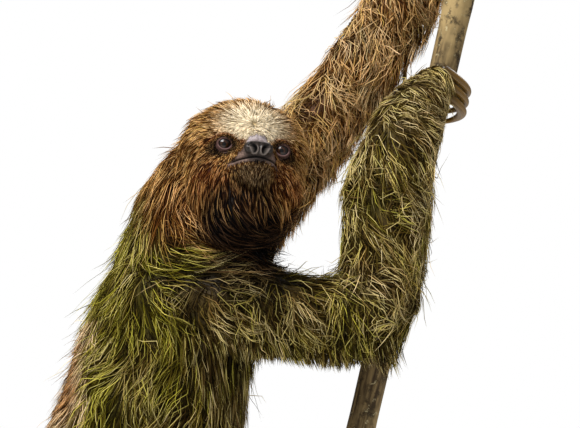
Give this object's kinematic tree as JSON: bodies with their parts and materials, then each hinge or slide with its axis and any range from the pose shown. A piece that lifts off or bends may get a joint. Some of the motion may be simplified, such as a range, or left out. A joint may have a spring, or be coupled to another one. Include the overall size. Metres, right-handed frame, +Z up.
{
  "type": "three-toed sloth",
  "caption": "Life-size still model of a three-toed sloth climbing a slanting bare pole, its face turned aside, held by a flat display base with a short rod.",
  "frame": {"origin": "centre of the display base's underside", "axes": "+Z up; +X from the animal's back towards the pole; -Y the side that the face looks to"},
  "size_m": [0.4049, 0.3, 0.8743],
  "materials": {
    "coat": "long coarse fur with green algae",
    "claw": "satin horn",
    "eye": "wet, dark brown",
    "nose": "moist bare skin",
    "perch": "bare weathered bark",
    "stand_wood": "satin varnish",
    "stand_steel": "brushed"
  },
  "bodies": {
    "root": {"head": "coat", "neck": "coat", "trunk": "coat", "tail": "coat", "arm_right_upper": "coat", "arm_right_fore": "coat", "hand_right": "coat", "arm_left_upper": "coat", "arm_left_fore": "coat", "hand_left": "coat", "leg_right_thigh": "coat", "leg_right_shank": "coat", "foot_right": "coat", "leg_left_thigh": "coat", "leg_left_shank": "coat", "foot_left": "coat", "claw_right_fore_1": "claw", "claw_right_fore_2": "claw", "claw_right_fore_3": "claw", "claw_right_hind_1": "claw", "claw_right_hind_2": "claw", "claw_right_hind_3": "claw", "claw_left_fore_1": "claw", "claw_left_fore_2": "claw", "claw_left_fore_3": "claw", "claw_left_hind_1": "claw", "claw_left_hind_2": "claw", "claw_left_hind_3": "claw", "eye_right": "eye", "eye_left": "eye", "nose": "nose", "perch": "perch", "stand_base": "stand_wood", "stand_post": "stand_steel", "stand_flange": "stand_steel"}
  },
  "joints": []
}
